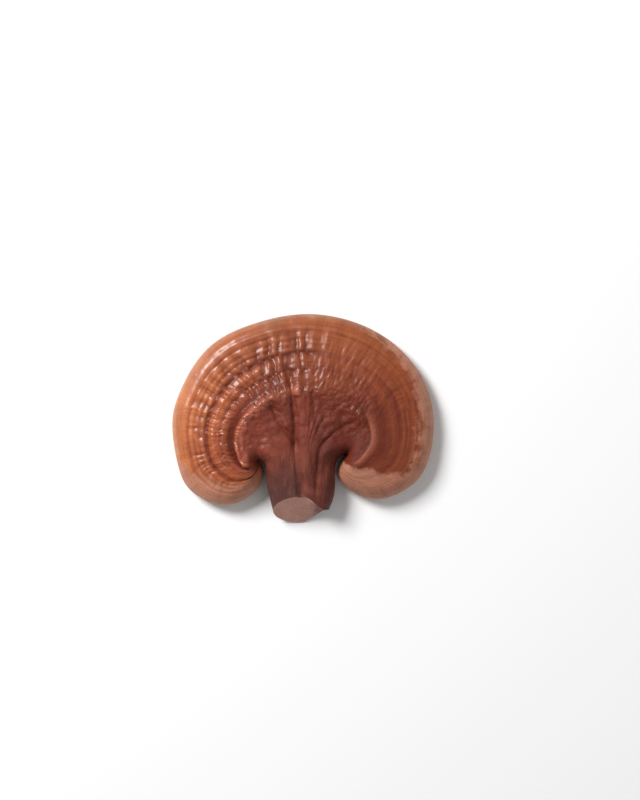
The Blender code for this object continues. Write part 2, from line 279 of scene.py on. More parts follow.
# The crust's tones, as {growth: colour}, and how light each band of growth is, as {growth: share}
CRUST_TONES = {
    -1.0: (0.22, 0.064, 0.045), -0.2: (0.23, 0.058, 0.036), 0.15: (0.25, 0.05, 0.027),
    0.5: (0.26, 0.048, 0.02), 0.64: (0.32, 0.068, 0.023), 0.8: (0.45, 0.115, 0.036),
    0.92: (0.55, 0.165, 0.05), 0.97: (0.52, 0.17, 0.06), 1.0: (0.5, 0.21, 0.09),
}
BANDS = {
    0.56: 1.0, 0.62: 0.82, 0.65: 0.8, 0.69: 0.95, 0.735: 0.84, 0.79: 1.0, 0.825: 0.8, 0.845: 1.0,
    0.864: 0.88, 0.875: 1.0, 0.887: 0.86, 0.905: 1.0, 0.92: 0.8, 0.94: 0.97, 1.0: 1.0,
}

# What the crust's tone is multiplied by, in zones and then by marks on it; some of these are painted
# highlight and painted shade
ZONE_TINTS = {
    "right side": (0.86, 0.76, 0.68),
    # painted shade in the crease
    "shaded dull crease": (0.685, 0.608, 0.566),
    # painted highlight on the rim, over its own paler tone
    "pale highlighted rim": (1.4, 1.8, 2.1),
    "dark lobe": (0.76, 0.7, 0.7),
    "light brow": (1.3, 1.6, 1.6),
    # painted highlight on the upper left pillows
    "highlighted pillows": (1.25, 1.4, 1.45),
}
TINTS = {
    "brown side": (0.65, 0.58, 0.56),
    # painted shade inside the right rim
    "shaded ring": (0.6, 0.5, 0.5),
    "left of the stem": (0.42, 0.54, 0.62),
    "ridge": (1.3, 1.4, 1.4),
    # painted highlight on the relief's heights and painted shade in its hollows
    "lit heights": (1.3, 1.4, 1.4),
    "shaded hollows": (0.4, 0.28, 0.2),
    # grooves darker by their own colour and by painted shade
    "grooves": (0.52, 0.35, 0.24),
    "streaks": (0.62, 0.48, 0.45),
    "lines": (0.66, 0.5, 0.42),
    "fibres": (0.72, 0.6, 0.56),
    "patches": (0.66, 0.6, 0.62),
}
# the lit ring's orange, its own colour with a painted highlight, and the new crust's tone
LIT_RING_ORANGE, NEW_CRUST = (0.5, 0.16, 0.09), (0.54, 0.25, 0.16)

# The relief in millimetres between which its heights get a painted highlight and its hollows painted shade
LIGHTER_HEIGHTS, DARKER_HOLLOWS = (0.0, 0.9), (-0.1, -1.3)

# The underside: the pores, and its tones as pairs that clouds or streaks blend
PORE_SPACING, PORE_RIM, PORE_DEPTH = 2.2, (0.42, 0.12), 0.15
PORES_START, CRUST_TURNS_UNDER = (0.16, 0.05), (0.975, 0.995)
PORE_FACE = (0.5, 0.35, 0.21), (0.38, 0.24, 0.13)
PORE_BORDER, IN_THE_PORES = (0.47, 0.31, 0.18), (0.22, 0.125, 0.07)
OCHRE_MARGIN, BROWN_MARGIN, NEW_MARGIN = (0.42, 0.18, 0.077), (0.28, 0.1, 0.043), (0.44, 0.2, 0.12)
CROWN_UNDERSIDE = (0.075, 0.024, 0.018), (0.15, 0.044, 0.031)

# The cut: its flesh, the fibre ends in it, and the painted shade over its right part, which starts between
# these places along X
FLESH, FIBRE_ENDS = ((0.72, 0.37, 0.29), (0.58, 0.275, 0.205)), (0.25, 0.12, 0.085)
SHADED_FLESH, SHADE_X = (0.17, 0.06, 0.042), (3.5, 8.0)

# What the materials read of each point's place
MATERIAL_FACTS = ("growth", "around", "sweep", "newness", "groove", "relief")

# The camera: the photograph's height in pixels, the millimetres that a pixel shows, the place in its middle
# and the height that is at that scale
PHOTO_HEIGHT, MM_PER_PIXEL = 800, 0.535
PHOTO_MIDDLE = (9.0, 9.9)
VIEWED_HEIGHT = 8.0
LENS, SENSOR = 85.0, 36.0

# The stage: the floor, and the softboxes as {name: (place, side, power)}
FLOOR_SIZE, FLOOR_TONE, FLOOR_ROUGHNESS = 6000.0, (0.9, 0.9, 0.9), 0.9
ROOM_LIGHT = 0.25
SOFTBOXES = {
    "key": ((-900, 800, 1100), 600, 34),
    "fill": ((1300, -300, 1100), 2200, 7),
}


def smooth(x, start, end):
    """0 up to start, 1 from end on, with a smooth rise between. It falls where end is below start."""
    x = np.clip((x - start) / (end - start), 0, 1)
    return x * x * (3 - 2 * x)


def rounded(x):
    """The height of a quarter circle of radius 1, x in from its edge."""
    return np.sqrt(1 - (1 - np.clip(x, 0, 1)) ** 2)


def spline(knots, values, at):
    """The natural cubic spline through the values, read at other places along the knots."""
    knots, values, at = (np.asarray(a, float) for a in (knots, values, at))
    flat = values.reshape(len(knots), -1)
    step = np.diff(knots)
    slope = np.diff(flat, axis=0) / step[:, None]
    matrix, bend = np.eye(len(knots)), np.zeros_like(flat)
    for i in range(1, len(knots) - 1):
        matrix[i, i - 1 : i + 2] = step[i - 1], 2 * (step[i - 1] + step[i]), step[i]
        bend[i] = 6 * (slope[i] - slope[i - 1])
    bend = np.linalg.solve(matrix, bend)
    i = np.clip(np.searchsorted(knots, at) - 1, 0, len(step) - 1)
    after = ((at - knots[i]) / step[i])[:, None]
    before = 1 - after
    curve = before * flat[i] + after * flat[i + 1]
    curve += ((before**3 - before) * bend[i] + (after**3 - after) * bend[i + 1]) * step[i, None] ** 2 / 6
    return curve.reshape(len(at), *values.shape[1:])


def through(points, at):
    """The smooth curve through {place along: point}."""
    return spline(list(points), list(points.values()), at)


def crown(across):
    """The curve from crotch to crotch where the stem meets the cap."""
    across = np.asarray(across, float)[:, None]
    bow = CROWN_BOW * 4 * across * (1 - across)
    return (1 - across) * LEFT_CROTCH + across * RIGHT_CROTCH + bow * (0, 1)


def cap_plan(growth, around):
    """The grid of plan points, growth by around."""
    curves = [crown(around / LAST)] + [through(curve, around) for curve in (PLATEAU, WELT, MARGIN)]
    return spline((0, PLATEAU_GROWTH, WELT_GROWTH, 1), curves, growth)


def stem_plan(along, across):
    """The grid of plan points, along by across."""
    left, right = (through(side, along)[:, None] for side in (STEM_LEFT, STEM_RIGHT))
    across = across[None, :, None]
    bow = CROWN_BOW * smooth(along, BOW_ENDS, 0)[:, None, None]
    return (1 - across) * left + across * right + bow * 4 * across * (1 - across) * (0, 1)


def outline():
    """The whole outline from the cut's left corner round the cap to its right corner."""
    along = np.linspace(1, 0, OUTLINE_SAMPLES // 4, endpoint=False)
    margin = through(MARGIN, np.linspace(0, LAST, OUTLINE_SAMPLES))
    return np.concatenate((through(STEM_LEFT, along), margin, through(STEM_RIGHT, along)[::-1]))


def edge_distance(plan, ends_on_margin=False):
    """How far each point of a plan grid lies in from the outline, which its two side columns are on."""
    line = outline()
    nearest = np.full(plan.shape[:-1], np.inf)
    for a, run in zip(line[:-1], np.diff(line, axis=0)):
        x, y = plan[..., 0] - a[0], plan[..., 1] - a[1]
        part = np.clip((x * run[0] + y * run[1]) / (run @ run), 0, 1)
        nearest = np.minimum(nearest, (x - part * run[0]) ** 2 + (y - part * run[1]) ** 2)
    nearest = np.sqrt(nearest)
    nearest[:, [0, -1]] = 0
    if ends_on_margin:
        nearest[-1] = 0
    return nearest


def crown_ridge(plan):
    """The ridge from the middle of the plateau down the crown and the stem, less the furrows beside it."""
    x, y = plan[..., 0], plan[..., 1]
    side = np.exp(-(((x - RIDGE_X) / RIDGE_HALF_WIDTH) ** 2))
    height = RIDGE_HEIGHT * side * smooth(y, *RIDGE_FADES_IN) * smooth(y, *RIDGE_FADES_OUT)
    for line, depth, half_width in FURROWS:
        low, high = min(line), max(line)
        centre = through(line, np.clip(y, low, high).ravel()).reshape(y.shape)
        run_out = smooth(y, low - FURROW_RUN_OUT, low)
        run_out = run_out * smooth(y, high + FURROW_PAST_END, high - FURROW_RUN_OUT)
        height = height - depth * run_out * np.exp(-(((x - centre) / half_width) ** 2))
    return height


def cap_top(growth, around):
    """The cap's top surface as a grid of points, and their distance in from the outline."""
    plan = cap_plan(growth, around)
    edge, rows = edge_distance(plan, ends_on_margin=True), growth[:, None]
    outer = np.clip((rows - WELT_GROWTH) / (1 - WELT_GROWTH), 0, 1)
    step = STEP_LEFT + (STEP_RIGHT - STEP_LEFT) * smooth(around, *STEP_TURNS)
    in_front = smooth(around, *HOLLOW_FRONT_LEFT) * smooth(around, *HOLLOW_FRONT_RIGHT)
    hollow = HOLLOW_DEPTH * (1 - (1 - HOLLOW_SHARE_IN_FRONT) * in_front)
    height = OUTER_HEIGHT - (OUTER_HEIGHT - BROW_HEIGHT) * outer**OUTER_FALL_POWER
    height = height + step * smooth(rows, WELT_GROWTH + WELT_OUTSIDE, WELT_GROWTH - WELT_INSIDE)
    height = height - hollow * smooth(rows, *HOLLOW_FROM_WELT) * smooth(rows, *HOLLOW_FROM_CROWN)
    to_crown = (CROWN_HEIGHT - OUTER_HEIGHT - step) * smooth(rows, PLATEAU_GROWTH, 0)
    height = height + to_crown + crown_ridge(plan)
    height = MARGIN_MIDDLE + (height - MARGIN_MIDDLE) * rounded(edge / BROW_ROUNDING)
    return np.dstack((plan, height)), edge


def cap_underside(growth, around):
    """The pore face as a grid of points, rounded up to the margin, and their distance in from the outline."""
    plan = cap_plan(growth, around)
    edge = edge_distance(plan, ends_on_margin=True)
    return np.dstack((plan, MARGIN_MIDDLE * (1 - rounded(edge / PORE_ROUNDING)))), edge


def stem_surface(along, across, side):
    """The stem's top or under surface as a grid of points that ends on the cut, and their distance in."""
    plan = stem_plan(along, across)
    edge, rows = edge_distance(plan), along[:, None]
    settled = smooth(rows, 0, STEM_SETTLES)
    middle = MARGIN_MIDDLE + (STEM_MIDDLE - MARGIN_MIDDLE) * settled
    if side == TOP:
        height = CROWN_HEIGHT + (STEM_TOP - CROWN_HEIGHT) * smooth(rows, 0, STEM_LEVELS_OUT)
        height = height + crown_ridge(plan)
        cap_rounding, fades = BROW_ROUNDING, CUT_TOP_FADES
    else:
        height = STEM_UNDERSIDE * settled
        cap_rounding, fades = PORE_ROUNDING, CUT_UNDERSIDE_FADES
    rounding = cap_rounding + (STEM_ROUNDING - cap_rounding) * settled
    height = middle + (height - middle) * rounded(edge / rounding)
    surface = np.dstack((plan, height))
    slant = CUT_SLANT * (1 - smooth(across, *fades))
    surface[..., 1] += slant * (height - middle) * rows**CUT_SLANT_POWER
    return surface, edge


def even_columns():
    """Places around the cap, in nearly even steps along the margin and a little closer at the crotches."""
    around = np.linspace(0, LAST, MARGIN_SAMPLES)
    steps = np.linalg.norm(np.diff(through(MARGIN, around), axis=0), axis=1)
    length = np.concatenate(([0], np.cumsum(steps)))
    share = COLUMNS_EVEN_SHARE * length / length[-1] + (1 - COLUMNS_EVEN_SHARE) * around / LAST
    return np.interp(np.linspace(0, 1, COLUMNS + 1), share, around)


def rows_to_margin(rows, round_rows, round_starts):
    """Growth values in even steps, and then closer and closer towards the margin."""
    even = np.linspace(0, round_starts, rows, endpoint=False)
    closer = np.sin(np.linspace(0, np.pi / 2, round_rows))
    return np.concatenate((even, round_starts + (1 - round_starts) * closer))


class Sheet:
    """One rectangle of the skin: its points, and what each of them knows of its place."""

    def __init__(self, piece, side, surface, growth, around, sweep):
        self.piece, self.side = piece, side
        self.points, edge = surface
        shape, plan = edge.shape, self.points[..., :2]
        leaning = np.clip(LEAN_STARTS - growth, 0, LEAN_STARTS - LEAN_ENDS)[:, None]
        pale_starts = np.interp(around, list(PALE_STARTS), list(PALE_STARTS.values()))
        to_crotches = (np.linalg.norm(plan - crotch, axis=-1) for crotch in (LEFT_CROTCH, RIGHT_CROTCH))
        self.facts = {
            "growth": np.broadcast_to(growth[:, None], shape),
            "around": np.broadcast_to(around[None], shape),
            "sweep": sweep[None] + leaning * through(RAYS_LEAN, around)[None],
            "newness": growth[:, None] - pale_starts[None],
            "edge": edge,
            "crotch": np.minimum(*to_crotches),
            "top": (side == TOP) * smooth(edge, 0, RELIEF_STARTS),
            "cut": np.full(shape, float(side == CUT)),
        }


def skin_sheets():
    """The whole skin: the cap's top and underside, and the stem's top, underside and cut."""
    around = even_columns()
    ring = cap_plan(np.array([SWEEP_GROWTH]), around)[0]
    sweep = np.concatenate(([0], np.cumsum(np.linalg.norm(np.diff(ring, axis=0), axis=1))))
    growth = rows_to_margin(TOP_ROWS, TOP_ROUND_ROWS, TOP_ROUND_STARTS)
    under_growth = rows_to_margin(UNDER_ROWS, UNDER_ROUND_ROWS, UNDER_ROUND_STARTS)
    along = np.linspace(0, 1, STEM_ROWS + 1)
    stem_top, stem_under = (stem_surface(along, around / LAST, side) for side in (TOP, UNDER))
    rims = stem_top[0][-1], stem_under[0][-1]
    inwards = np.linspace(0, 1, CUT_ROWS + 1)[:, None, None]
    cut = (1 - inwards) * rims[0] + inwards * rims[1]
    cut_edge = np.minimum(*(np.linalg.norm(cut - rim, axis=-1) for rim in rims))
    at_the_cut = np.full(CUT_ROWS + 1, -1.0)
    return (
        Sheet("cap", TOP, cap_top(growth, around), growth, around, sweep),
        Sheet("cap", UNDER, cap_underside(under_growth, around), under_growth, around, sweep),
        Sheet("stem", TOP, stem_top, -along, around, sweep),
        Sheet("stem", UNDER, stem_under, -along, around, sweep),
        Sheet("stem", CUT, (cut, cut_edge), at_the_cut, around, sweep),
    )


# Node trees

class Field:
    """A node's output. Arithmetic on it adds the nodes that work it out."""

    def __init__(self, tree, socket):
        self.tree, self.socket = tree, socket

    def math(self, operation, *others):
        return add(self.tree, "ShaderNodeMath", self, *others, operation=operation)

    def __add__(self, other):
        return self.math("ADD", other)

    def __mul__(self, other):
        return self.math("MULTIPLY", other)

    def __sub__(self, other):
        return self.math("SUBTRACT", other)

    def __rsub__(self, other):
        return add(self.tree, "ShaderNodeMath", other, self, operation="SUBTRACT")

    def __truediv__(self, other):
        return self.math("DIVIDE", other)

    def __rtruediv__(self, other):
        return add(self.tree, "ShaderNodeMath", other, self, operation="DIVIDE")

    def __pow__(self, power):
        return self.math("POWER", power)

    def __abs__(self):
        return self.math("ABSOLUTE")

    __radd__ = __add__
    __rmul__ = __mul__

    def rise(self, start, end, low=0.0, high=1.0):
        """low up to start, high from end on, with a smooth rise between. start may be above end."""
        if start > end:
            start, end, low, high = end, start, high, low
        values = self, start, end, low, high
        return add(self.tree, "ShaderNodeMapRange", *values, interpolation_type="SMOOTHSTEP")

    def hump(self, start, full, fades, end):
        """1 from full to fades, and 0 before start and after end."""
        return self.rise(start, full) * self.rise(end, fades)

    def over(self, limits):
        """A rise over limits of two values, or a hump over four."""
        return self.rise(*limits) if len(limits) == 2 else self.hump(*limits)

    def centred(self, span):
        """A field from 0 to 1 made one from minus half the span to plus half of it."""
        return (self - 0.5) * span

    def grooves(self, sharpness):
        """1 at each whole number and 0 on the rounded back half way between two."""
        return (abs(self.math("FRACT") - 0.5) * 2.0) ** sharpness


def add(tree, kind, *values, out=0, named=(), **settings):
    """Adds a node with values or fields in its first or named sockets. Returns its output as a field."""
    node = tree.nodes.new(kind)
    for name, value in settings.items():
        setattr(node, name, value)
    for socket, value in zip(node.inputs, values):
        join(tree, value, socket)
    for name, value in dict(named).items():
        join(tree, value, node.inputs[name])
    return Field(tree, node.outputs[out])


def join(tree, value, socket):
    """Links a field to a socket, or sets the socket to a plain value. None leaves it as it is."""
    if isinstance(value, Field):
        tree.links.new(value.socket, socket)
    elif value is not None:
        socket.default_value = (*value, 1.0) if socket.type == "RGBA" and len(value) == 3 else value


class Skin:
    """A tree's way to the facts of the skin, to its zones, and to noise that follows its growth."""

    def __init__(self, tree):
        self.tree = tree
        self.growth, self.around, self.sweep = (self.fact(name) for name in ("growth", "around", "sweep"))
        if tree.type == "GEOMETRY":
            metres = add(tree, "GeometryNodeInputPosition")
        else:
            metres = add(tree, "ShaderNodeTexCoord", out="Object")
        self.place = add(tree, "ShaderNodeVectorMath", metres, (1 / MM,) * 3, operation="MULTIPLY")

    def fact(self, name):
        if self.tree.type == "GEOMETRY":
            return add(self.tree, "GeometryNodeInputNamedAttribute", name, data_type="FLOAT")
        return add(self.tree, "ShaderNodeAttribute", out="Fac", attribute_name=name)

    def along_x(self):
        return add(self.tree, "ShaderNodeSeparateXYZ", self.place, out="X")

    def zone(self, name):
        """How strong a zone is here: its strength, faded by its ranges of growth and around."""
        strength, *ranges = ZONES[name]
        for field, limits in zip((self.growth, self.around), ranges):
            if limits:
                strength = field.over(limits) * strength
        return strength

    def lumps(self, name):
        """Noise from 0 to 1 in space."""
        size, detail, roughness = LUMPS[name]
        scale = tuple(1 / s for s in size) if isinstance(size, tuple) else (1 / size,) * 3
        scaled = add(self.tree, "ShaderNodeVectorMath", self.place, scale, operation="MULTIPLY")
        return add(self.tree, "ShaderNodeTexNoise", scaled, None, 1.0, detail, roughness)

    def noise(self, name):
        """Noise from 0 to 1 that follows the growth."""
        across, along, seed, detail, roughness = GRAINS[name]
        place = add(self.tree, "ShaderNodeCombineXYZ", self.sweep / across, self.growth / along, seed)
        return add(self.tree, "ShaderNodeTexNoise", place, None, 1.0, detail, roughness)

    def patches(self, name):
        """Patches of 1 on 0, where the noise of that name is high."""
        return self.noise(name).over(PATCHES[name])

    def ring_place(self, rings):
        """Counts the rings, which waver and are a little further in on the right."""
        return (self.growth + self.zone("rings further in")) * rings + self.noise("ring waver") * 1.3


# Growth relief, each part as a height in millimetres

def ring_relief(skin, given):
    """A roll and the grooves where growth paused, with fine rings between them, and where the grooves are."""
    wobble = skin.noise("groove wobble").centred(span=0.012)
    place = skin.growth + skin.noise("groove waver").centred(span=0.03) + wobble
    deep, lines = 0.0, 0.0
    for growth, (share, half_width) in GROOVES.items():
        away = abs(place - growth)
        line, sides = away.rise(half_width, 0.0), away.rise(half_width * GROOVE_SIDES, 0.0)
        deep = (line + sides) * (share / 2) + deep
        lines = line * share**0.5 + lines
    patchy = (skin.patches("groove patches") * 0.6 + 0.4) * (1.0 - skin.zone("faint rings"))
    deep, lines = deep * patchy, lines * patchy
    fine = skin.ring_place(given["Rings for all growth"]).grooves(sharpness=3.0)
    fine = fine * skin.patches("ring patches")
    folded = skin.zone("folded rings") * skin.patches("folded patches") + 1.0
    ringed = skin.zone("ringed")
    height = (fine * folded * given["Ring depth"] + deep * given["Groove depth"]) * ringed
    return skin.zone("roll") - height, (fine * 0.5 + deep * 0.5 + lines * 0.6) * ringed


def wrinkle_relief(skin, given):
    """Wrinkles along the rays: pillows from groove to groove on the upper left, and narrow ones elsewhere."""
    spacing = given["Wrinkle spacing"]
    drift = skin.noise("wrinkle drift") * 2.0 + skin.zone("second row") + skin.zone("third row")
    broad = (skin.sweep / spacing + drift).grooves(sharpness=1.5)
    narrow = (skin.sweep / (spacing * NARROW_WRINKLES_SHARE) + drift * 2.0).grooves(sharpness=2.0)
    narrow = narrow * skin.patches("wrinkle patches")
    height = broad * (skin.zone("upper pillows") + skin.zone("left pillows"))
    height = height + narrow * (skin.zone("left wrinkles") + skin.zone("upper wrinkles"))
    for name in ("right ribs", "rays"):
        height = height + skin.noise(name).centred(span=1.0) * skin.zone(name)
    return 0.0 - height * given["Wrinkle depth"]


def welt_relief(skin, given):
    """The beaded rim of the plateau on the left with its fine ribs, and the creases outside it."""
    bead = (skin.sweep / given["Bead spacing"] + skin.noise("bead drift") * 2.0).grooves(sharpness=2.0)
    ribs = skin.noise("welt ribs").centred(span=2.0) + skin.lumps("welt").centred(span=1.0)
    beads = (1.0 - bead) * given["Bead height"] + ribs * skin.zone("welt ribs") + skin.zone("swollen end")
    left = skin.zone("beaded rim") * (beads - 0.45) - skin.zone("crease") * given["Crease depth"]
    return left + skin.zone("right edge") - skin.zone("right crease")


def fold_relief(skin, given):
    """Lumps and narrow folds over the plateau and down the crown."""
    folds = (skin.sweep / FOLD_SPACING + skin.noise("fold drift") * 3.0).grooves(sharpness=1.5)
    lumps = skin.lumps("plateau").centred(span=2.6) + skin.lumps("small").centred(span=0.9)
    height = (0.4 - folds) * skin.zone("ribbed") + lumps
    height = height * (1.0 - skin.zone("calm right")) + skin.zone("ridge head")
    return height * skin.zone("folds") * given["Fold depth"]


def fine_relief(skin, given):
    """Fibres along the rays, and coarse grain near the welt."""
    fibres = skin.noise("raised fibres").centred(span=1.0) * skin.zone("fibres")
    grain = skin.noise("welt grain").centred(span=1.0) * skin.zone("grain by the welt")
    return (fibres + grain * (1.0 - skin.zone("finer grain"))) * given["Fibre depth"]


def body_relief(skin, given):
    """The stem's long wrinkles, and a swell all over."""
    stem_folds = skin.lumps("stem folds").centred(span=1.0) * skin.zone("stem folds")
    return stem_folds * given["Fold depth"] + skin.lumps("swell").centred(span=2.0) * given["Swell"]


def relief_tree():
    """The tree that raises the relief along the normals and stores where its grooves are."""
    tree = bpy.data.node_groups.new("growth relief", "GeometryNodeTree")
    tree.interface.new_socket("Geometry", in_out="INPUT", socket_type="NodeSocketGeometry")
    tree.interface.new_socket("Geometry", in_out="OUTPUT", socket_type="NodeSocketGeometry")
    tree.interface.new_socket("Crust", in_out="INPUT", socket_type="NodeSocketMaterial")
    for name, size in RELIEF.items():
        tree.interface.new_socket(name, in_out="INPUT", socket_type="NodeSocketFloat").default_value = size
    entry = tree.nodes.new("NodeGroupInput")
    given = {socket.name: Field(tree, socket) for socket in entry.outputs}
    skin = Skin(tree)
    height, groove = ring_relief(skin, given)
    for relief in (wrinkle_relief, welt_relief, fold_relief, fine_relief):
        height = height + relief(skin, given)
    small = height
    height = height + body_relief(skin, given)
    top = skin.fact("top")
    height = height * top * skin.fact("crotch").rise(*CROTCH_CALM) * (1.0 - skin.zone("near the cut"))
    torn = skin.lumps("torn flesh").centred(TORN_DEPTH) * skin.fact("cut")
    height = height + torn * skin.fact("edge").rise(0.0, 1.0)
    normal = add(tree, "GeometryNodeInputNormal")
    offset = add(tree, "ShaderNodeVectorMath", normal, named={"Scale": height * MM}, operation="SCALE")
    stored = given["Geometry"]
    for name, field in {"groove": groove * top, "relief": small * top}.items():
        stored = add(tree, "GeometryNodeStoreNamedAttribute", stored, None, name, field)
    moved = add(tree, "GeometryNodeSetPosition", stored, None, None, offset)
    real = add(tree, "GeometryNodeRealizeInstances", moved)
    finished = add(tree, "GeometryNodeSetMaterial", real, None, given["Crust"])
    join(tree, finished, tree.nodes.new("NodeGroupOutput").inputs[0])
    return tree


# Materials

def mottle_group():
    """Cloudy variation from 0 to 1, in clouds of a size in millimetres."""
    group = bpy.data.node_groups.new("mottle", "ShaderNodeTree")
    for label, value in {"Size": 6.0, "Contrast": 2.0}.items():
        group.interface.new_socket(label, in_out="INPUT", socket_type="NodeSocketFloat").default_value = value
    group.interface.new_socket("Mask", in_out="OUTPUT", socket_type="NodeSocketFloat")
    entry = group.nodes.new("NodeGroupInput")
    size, contrast = (Field(group, entry.outputs[name]) for name in ("Size", "Contrast"))
    place = add(group, "ShaderNodeTexCoord", out="Object")
    scaled = add(group, "ShaderNodeVectorMath", place, named={"Scale": (1 / MM) / size}, operation="SCALE")
    cloud = add(group, "ShaderNodeTexNoise", scaled, None, 1.0, 4.0, 0.6)
    mask = add(group, "ShaderNodeMath", (cloud - 0.5) * contrast, 0.5, operation="ADD", use_clamp=True)
    join(group, mask, group.nodes.new("NodeGroupOutput").inputs[0])
    return group


def mottle(tree, group, name):
    """The clouds of that name, from 0 to 1."""
    size, contrast = CLOUDS[name]
    return add(tree, "ShaderNodeGroup", size, contrast, node_tree=group)


def mix(tree, share, first, second, kind="MIX"):
    """A blend of two colours."""
    values = share, *[None] * 5, first, second
    return add(tree, "ShaderNodeMix", *values, out=2, data_type="RGBA", blend_type=kind)


def ramp(tree, place, stops):
    """The colour at a place along {place: colour}."""
    node = tree.nodes.new("ShaderNodeValToRGB")
    elements = node.color_ramp.elements
    low, high = min(stops), max(stops)
    elements[0].color, elements[1].color = (*stops[low], 1.0), (*stops[high], 1.0)
    for at in sorted(stops)[1:-1]:
        elements.new((at - low) / (high - low)).color = (*stops[at], 1.0)
    join(tree, (place - low) / (high - low), node.inputs["Fac"])
    return Field(tree, node.outputs["Color"])


def new_material(name):
    material = bpy.data.materials.new(name)
    material.use_nodes = True
    return material, material.node_tree, material.node_tree.nodes["Principled BSDF"]


def bump(tree, height, depth):
    """The normal of a surface this many millimetres deep where the height goes from 1 to 0."""
    return add(tree, "ShaderNodeBump", named={"Strength": 1.0, "Distance": depth * MM, "Height": height})


def tinted(tree, tone, share, name):
    """The tone multiplied by the tint of that name, as far as the share says."""
    return mix(tree, share, tone, TINTS[name], "MULTIPLY")


def grown_tone(skin, waver, pale):
    """The crust's tone from its growth and zones: bands, a browner right side and the pale new margin."""
    tree, growth = skin.tree, skin.growth
    tone = ramp(tree, growth + waver * 0.09, CRUST_TONES)
    band = {at: (share, share**2, share**2) for at, share in BANDS.items()}
    band = ramp(tree, growth + waver * 0.03, band)
    for share in (1.0 - skin.zone("faint bands"), skin.zone("strong bands")):
        tone = mix(tree, share, tone, band, "MULTIPLY")
    tone = tinted(tree, tone, skin.zone("brown side") * (1.0 - skin.zone("crown and stem")), "brown side")
    # zone tints: some are painted shade in the crease and painted highlights on the rim and on the upper left
    # pillows
    for name, tint in ZONE_TINTS.items():
        tone = mix(tree, skin.zone(name), tone, tint, "MULTIPLY")
    # the right rim's ring mixed towards orange: its own colour with a painted highlight
    tone = mix(tree, skin.zone("orange lit ring"), tone, LIT_RING_ORANGE)
    # painted shade just inside the right rim
    tone = tinted(tree, tone, skin.zone("shaded ring"), "shaded ring")
    x = skin.along_x()
    tone = tinted(tree, tone, skin.zone("stem") * x.over(STEM_LEFT_X), "left of the stem")
    tone = tinted(tree, tone, skin.zone("ridge") * x.over(RIDGE_LIGHT_X), "ridge")
    return mix(tree, pale * 0.85, tone, NEW_CRUST)


def crust_tone(skin, clouds, waver, pale, groove, inside_margin):
    """The grown tone with painted highlights on its heights and painted shade in its hollows, grooves darker
    by their own colour and by painted shade, and streaks, fibres and patches.
    """
    tree, relief = skin.tree, skin.fact("relief")
    lines = skin.patches("lines") * skin.zone("lined") * inside_margin * (1.0 - pale * 0.4)
    patches = mottle(tree, clouds, "patches") * (skin.zone("patchy") + 0.35)
    tone = grown_tone(skin, waver, pale)
    for name, share in {
        # painted highlight on the relief's heights and painted shade in its hollows
        "lit heights": relief.over(LIGHTER_HEIGHTS) * 0.6,
        "shaded hollows": relief.over(DARKER_HOLLOWS) * 0.6,
        # grooves darker by their own colour and by painted shade
        "grooves": groove * 0.7,
        "streaks": skin.patches("streaks") * 0.22,
        "lines": lines,
        "fibres": skin.patches("fibres") * inside_margin * 0.3,
        "patches": patches,
    }.items():
        tone = tinted(tree, tone, share, name)
    return tone


def crust_material(clouds):
    """The lacquered skin: maroon on the crown, red-brown inside and ochre outside, with a pale new margin."""
    material, tree, shader = new_material("lacquered crust")
    skin = Skin(tree)
    # the crease's painted shade is in the tone; here its mask mattes the lacquer
    groove, crease, worn = skin.fact("groove"), skin.zone("shaded dull crease"), mottle(tree, clouds, "worn lacquer")
    waver, inside_margin = skin.noise("colour waver").centred(span=1.0), 1.0 - skin.zone("very margin")
    wander = mottle(tree, clouds, "pale edge").centred(span=0.13)
    pale = (skin.fact("newness") + waver * 0.06 + wander).over(PALE_EDGE)
    tone = crust_tone(skin, clouds, waver, pale, groove, inside_margin)
    join(tree, tone, shader.inputs["Base Color"])
    join(tree, worn * 0.2 + crease * 0.3 + 0.45, shader.inputs["Roughness"])

    crinkles = skin.lumps("crinkles") * skin.zone("crinkled") * (1.0 - skin.zone("fewer crinkles"))
    height = skin.noise("fibres") * inside_margin * 0.5 + crinkles
    join(tree, bump(tree, height, depth=0.45), shader.inputs["Normal"])

    gloss = (1.0 - skin.zone("dull side")) * (1.0 - skin.zone("dull right"))
    gloss = gloss * (1.0 - crease * 0.9) * (1.0 - groove.rise(0.2, 1.0) * 0.7)
    lacquer = (1.0 - pale * 0.7) * (skin.zone("lacquered") + 0.15) * gloss - worn * 0.2
    join(tree, lacquer.math("MAXIMUM", 0.0), shader.inputs["Coat Weight"])
    shader.inputs["Coat Roughness"].default_value = 0.25
    shader.inputs["Specular IOR Level"].default_value = 0.25
    return material


